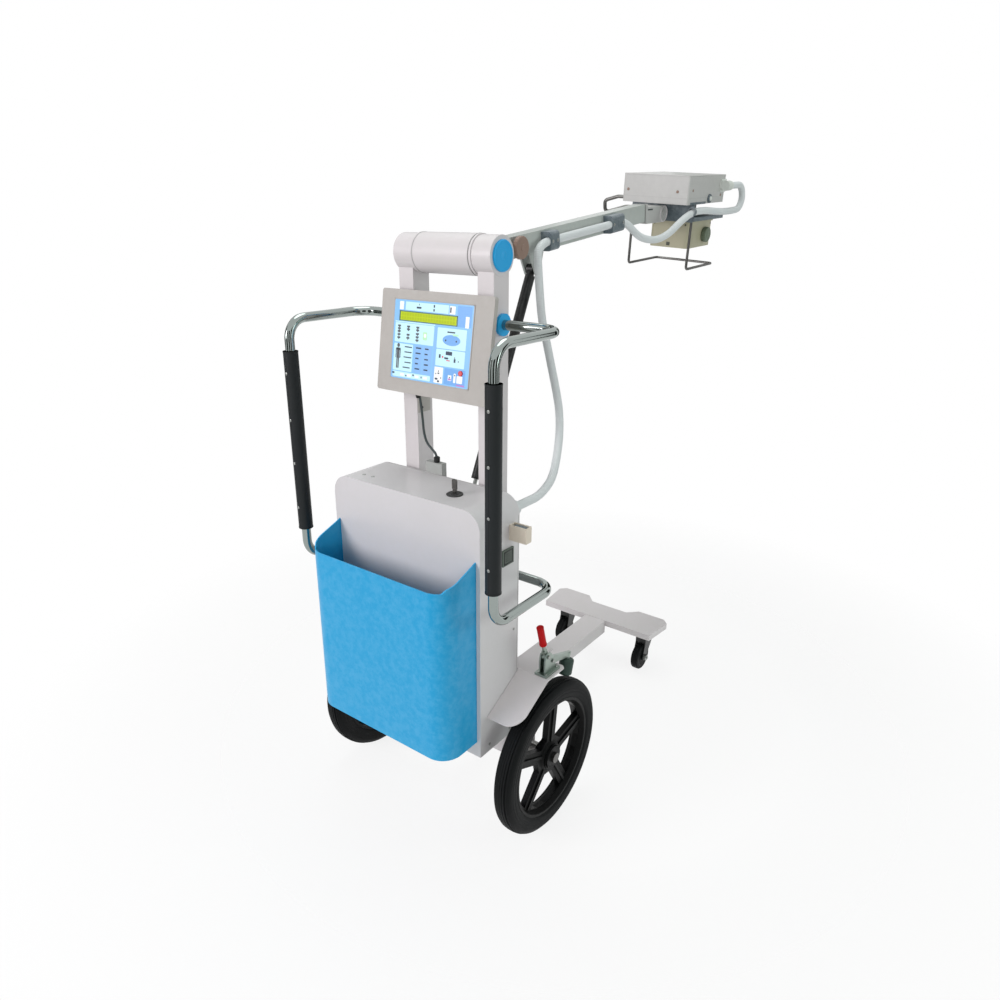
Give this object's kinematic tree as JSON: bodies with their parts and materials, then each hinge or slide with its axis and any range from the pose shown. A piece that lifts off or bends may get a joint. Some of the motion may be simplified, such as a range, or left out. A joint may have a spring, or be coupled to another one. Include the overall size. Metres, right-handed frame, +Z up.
{
  "type": "mobile x-ray machine",
  "caption": "Wheeled ward x-ray unit: tilting arm with strut and tube head, control panel, cassette bin, grab rails and wheel brakes.",
  "frame": {"origin": "On the floor, midway between the sides and midway between the back of the cassette bin and the front of the tube head", "axes": "+Z up, +Y forward along the arm, +X to the operator's right"},
  "size_m": [0.6326, 1.6461, 1.6058],
  "materials": {
    "frame_paint": "satin",
    "arm_paint": "satin",
    "cabinet_paint": "satin",
    "bin_blue": "satin",
    "cap_blue": "gloss",
    "panel_grey": "fine grain",
    "film": "printed film",
    "screen": "gloss",
    "button_red": "gloss",
    "chrome": "polished",
    "steel": "brushed",
    "black_metal": "satin",
    "bracket_paint": "satin",
    "swivel_metal": "satin",
    "head_paint": "satin",
    "lamp_cream": "fine grain",
    "knob_dark": "fine grain",
    "connector_grey": "fine grain",
    "tyre": "matte",
    "rubber": "matte",
    "hose_skin": "satin",
    "module_metal": "satin",
    "tube_glass": "gloss"
  },
  "bodies": {
    "chassis": {"axle_beam": "frame_paint", "rear_axle": "steel", "front_beam": "frame_paint", "caster_plate": "frame_paint", "fender_left": "frame_paint", "fender_right": "frame_paint", "upright_frame": "frame_paint", "end_caps": "cap_blue", "pivot_shaft": "steel", "brake_bases": "frame_paint", "cabinet_shell": "cabinet_paint", "cabinet_cover": "cabinet_paint", "power_module": "module_metal", "key_switch": "steel", "switch_holder": "cabinet_paint", "cabinet_glands": "connector_grey", "cassette_bin": "bin_blue", "panel_housing": "panel_grey", "membrane": "film", "display": "screen", "rail_left": "chrome", "rail_right": "chrome", "grips": "rubber", "rail_collars": "cap_blue", "panel_cable": "hose_skin", "hose_loop": "hose_skin"},
    "wheel_left": {"tyre_left": "tyre", "rim_left": "black_metal"},
    "wheel_right": {"tyre_right": "tyre", "rim_right": "black_metal"},
    "fork_left": {"caster_fork_left": "black_metal"},
    "fork_right": {"caster_fork_right": "black_metal"},
    "roller_left": {"caster_wheel_left": "tyre"},
    "roller_right": {"caster_wheel_right": "tyre"},
    "brake_lever_left": {"brake_lever_left": "button_red"},
    "brake_lever_right": {"brake_lever_right": "button_red"},
    "brake_arm_left": {"brake_arm_left": "steel", "brake_pad_left": "rubber"},
    "brake_arm_right": {"brake_arm_right": "steel", "brake_pad_right": "rubber"},
    "key": {"key": "steel"},
    "button": {"red_button": "button_red"},
    "arm": {"arm_tube": "arm_paint", "hose_clips": "bracket_paint", "hose_arm": "hose_skin", "hose_head": "hose_skin"},
    "lock_knob": {"lock_knob": "knob_dark"},
    "strut_body": {"strut_cylinder": "black_metal"},
    "strut_rod": {"strut_rod": "steel"},
    "swivel": {"head_swivel": "swivel_metal"},
    "head": {"head_plate": "bracket_paint", "head_housing": "head_paint", "head_cover": "head_paint", "xray_tube": "tube_glass", "head_handle": "chrome", "guard_loop": "chrome", "hose_connector": "connector_grey"},
    "collimator": {"collimator_body": "lamp_cream", "collimator_window": "screen"},
    "collimator_knob": {"collimator_knob": "knob_dark"}
  },
  "joints": [
    {"name": "wheel_left_spin", "type": "hinge", "parent": "chassis", "child": "wheel_left", "pos_m": [-0.288, -0.49445, 0.2], "axis": [1, 0, 0], "continuous": true},
    {"name": "fork_left_swivel", "type": "hinge", "parent": "chassis", "child": "fork_left", "pos_m": [-0.153, 0.31855, 0.127], "axis": [0, 0, 1], "continuous": true},
    {"name": "roller_left_spin", "type": "hinge", "parent": "fork_left", "child": "roller_left", "pos_m": [-0.153, 0.29355, 0.045], "axis": [1, 0, 0], "continuous": true},
    {"name": "brake_lever_left_turn", "type": "hinge", "parent": "chassis", "child": "brake_lever_left", "pos_m": [-0.285, -0.50945, 0.489], "axis": [1, 0, 0], "range_deg": [-60, 0]},
    {"name": "brake_arm_left_clamp", "type": "hinge", "parent": "chassis", "child": "brake_arm_left", "pos_m": [-0.285, -0.48945, 0.47], "axis": [1, 0, 0], "range_deg": [-4.5, 0]},
    {"name": "wheel_right_spin", "type": "hinge", "parent": "chassis", "child": "wheel_right", "pos_m": [0.288, -0.49445, 0.2], "axis": [1, 0, 0], "continuous": true},
    {"name": "fork_right_swivel", "type": "hinge", "parent": "chassis", "child": "fork_right", "pos_m": [0.153, 0.31855, 0.127], "axis": [0, 0, 1], "continuous": true},
    {"name": "roller_right_spin", "type": "hinge", "parent": "fork_right", "child": "roller_right", "pos_m": [0.153, 0.29355, 0.045], "axis": [1, 0, 0], "continuous": true},
    {"name": "brake_lever_right_turn", "type": "hinge", "parent": "chassis", "child": "brake_lever_right", "pos_m": [0.285, -0.50945, 0.489], "axis": [1, 0, 0], "range_deg": [-60, 0]},
    {"name": "brake_arm_right_clamp", "type": "hinge", "parent": "chassis", "child": "brake_arm_right", "pos_m": [0.285, -0.48945, 0.47], "axis": [1, 0, 0], "range_deg": [-4.5, 0]},
    {"name": "key_turn", "type": "hinge", "parent": "chassis", "child": "key", "pos_m": [0.104, -0.61745, 0.8895], "axis": [0, 0, 1], "range_deg": [0, 90]},
    {"name": "button_press", "type": "slide", "parent": "chassis", "child": "button", "axis": [0, 0.9885, -0.1513], "range_m": [0, 0.0015], "stiffness_N_per_m": 600},
    {"name": "arm_tilt", "type": "hinge", "parent": "chassis", "child": "arm", "pos_m": [0, -0.49145, 1.388], "axis": [1, 0, 0], "range_deg": [-20, 20], "deforming": ["hose_loop"]},
    {"name": "lock_knob_turn", "type": "hinge", "parent": "arm", "child": "lock_knob", "pos_m": [0.0365, -0.28283, 1.39515], "axis": [1, 0, 0], "range_deg": [-180, 180]},
    {"name": "strut_swing", "type": "hinge", "parent": "arm", "child": "strut_body", "pos_m": [0, -0.18262, 1.34023], "axis": [1, 0, 0], "range_deg": [-18, 18]},
    {"name": "strut_extend", "type": "slide", "parent": "strut_body", "child": "strut_rod", "axis": [0, -0.421, -0.907], "range_m": [-0.1045, 0.1045]},
    {"name": "head_roll", "type": "hinge", "parent": "arm", "child": "swivel", "pos_m": [0, 0.3768, 1.47381], "axis": [0, 0.993, 0.1184], "range_deg": [-90, 90], "deforming": ["hose_head"]},
    {"name": "head_tilt", "type": "hinge", "parent": "swivel", "child": "head", "pos_m": [-0.0018, 0.49709, 1.47435], "axis": [0.998, 0, -0.0628], "range_deg": [-90, 10], "deforming": ["hose_head"]},
    {"name": "collimator_turn", "type": "hinge", "parent": "head", "child": "collimator", "pos_m": [-0.00243, 0.69388, 1.46436], "axis": [0.0627, -0.0523, 0.9967], "range_deg": [-90, 90]},
    {"name": "collimator_knob_turn", "type": "hinge", "parent": "collimator", "child": "collimator_knob", "pos_m": [0.07027, 0.72555, 1.40958], "axis": [0.998, 0, -0.0628], "range_deg": [-90, 90]}
  ],
  "couplings": [
    {"joint": "brake_arm_left_clamp", "follows": "brake_lever_left_turn", "ratio": 0.075},
    {"joint": "brake_arm_right_clamp", "follows": "brake_lever_right_turn", "ratio": 0.075},
    {"joint": "strut_swing", "follows": "arm_tilt", "ratio": -0.87989},
    {"joint": "strut_extend", "follows": "arm_tilt", "m_per_rad": 0.29781}
  ]
}
